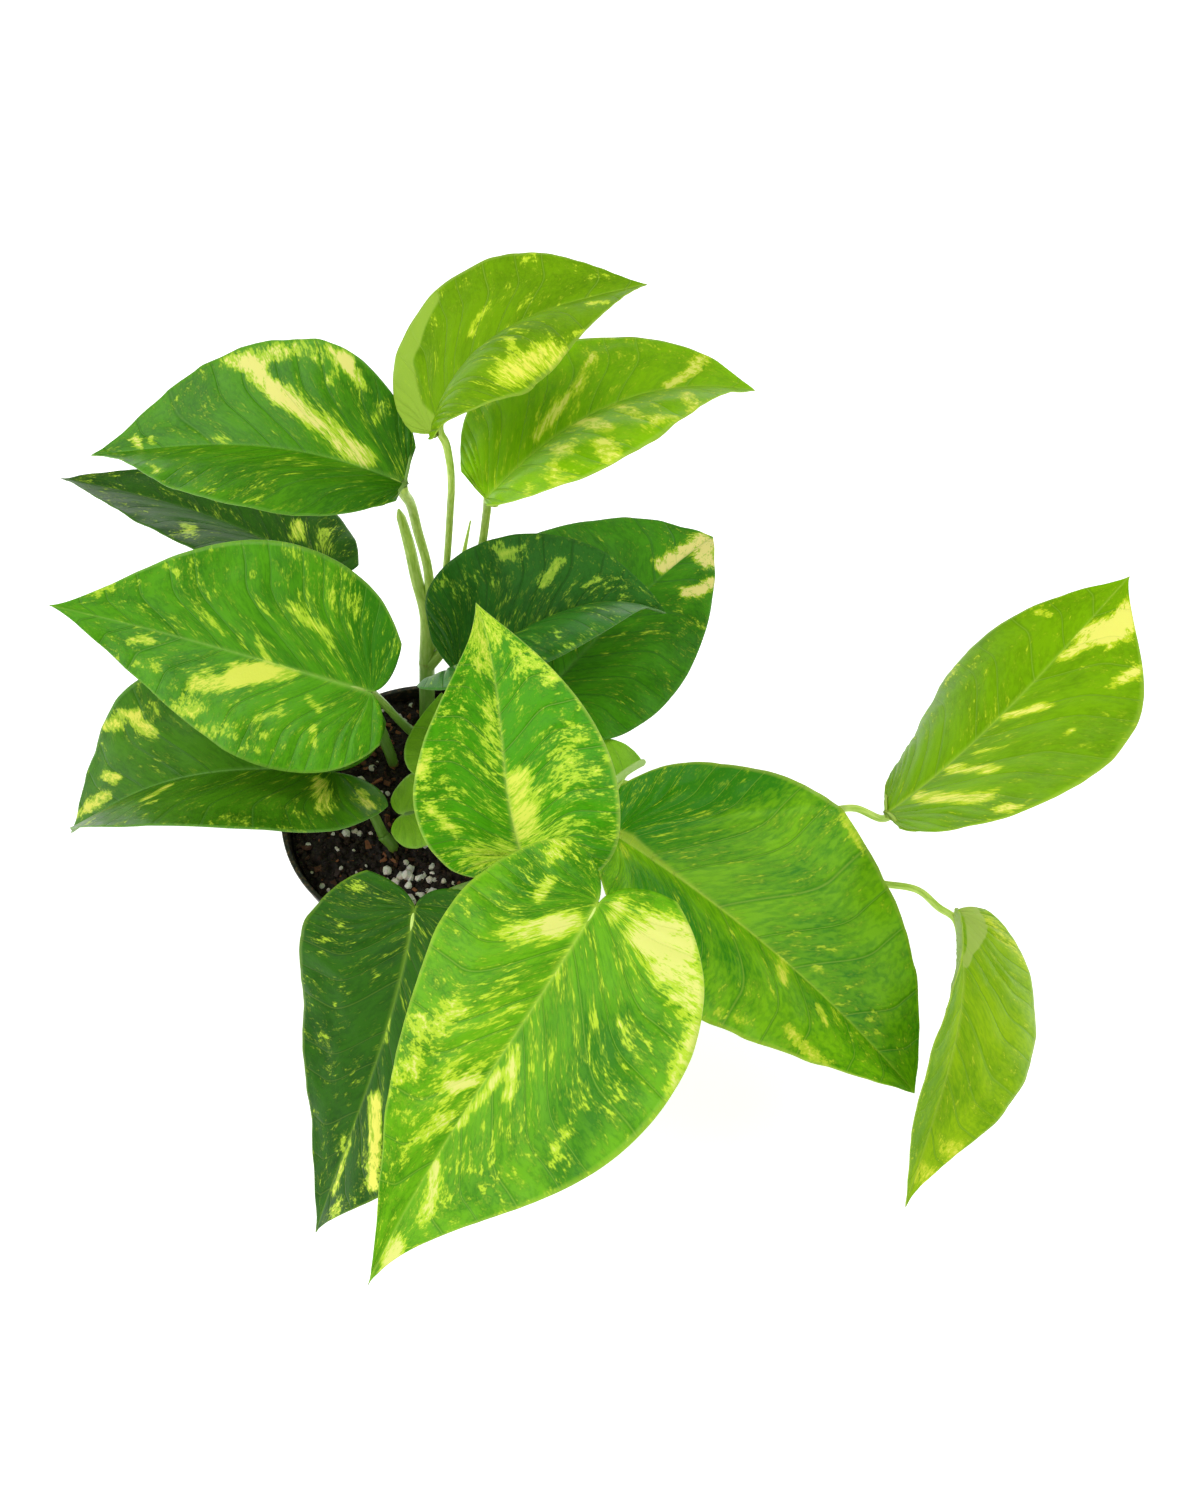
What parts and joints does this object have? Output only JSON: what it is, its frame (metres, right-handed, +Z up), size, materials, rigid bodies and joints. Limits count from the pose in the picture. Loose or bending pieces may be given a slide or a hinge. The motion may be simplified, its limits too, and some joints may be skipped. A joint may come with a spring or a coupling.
{
  "type": "potted golden pothos",
  "caption": "Trailing house plant with heart-shaped green and yellow leaves in a small round nursery pot of soil.",
  "frame": {"origin": "centre of the pot's underside, in the plane it stands on", "axes": "+Z up; the picture was taken from the -Y side, with the trailing vine towards +X"},
  "size_m": [0.3913, 0.3048, 0.2606],
  "materials": {
    "pot": "black moulded plastic, satin",
    "soil": "dark potting mix with bark and perlite",
    "stem": "pale green living stem",
    "light_leaf": "glossy young leaf with yellow streaks",
    "mid_leaf": "glossy leaf with cream streaks",
    "dark_leaf": "glossy old leaf, dark green",
    "fresh_leaf": "glossy leaf with yellow marbling"
  },
  "bodies": {
    "root": {"pot": "pot", "soil": "soil", "back_vine": "stem", "back_left_stem": "stem", "left_stem": "stem", "lower_left_stem": "stem", "middle_vine": "stem", "front_left_stem": "stem", "centre_stem": "stem", "front_big_stem": "stem", "right_big_stem": "stem", "right_vine": "stem", "young_shoot": "stem", "blade_top": "light_leaf", "blade_upper_right": "light_leaf", "blade_upper_left": "mid_leaf", "blade_back_left": "dark_leaf", "blade_left": "mid_leaf", "blade_lower_left": "mid_leaf", "blade_dark_centre": "dark_leaf", "blade_back_right": "dark_leaf", "blade_centre": "fresh_leaf", "blade_front_big": "fresh_leaf", "blade_front_left": "dark_leaf", "blade_right_big": "mid_leaf", "blade_far_right": "light_leaf", "blade_lower_right": "light_leaf", "blade_small_right": "light_leaf", "blade_young_low": "light_leaf", "blade_young_high": "light_leaf"}
  },
  "joints": []
}
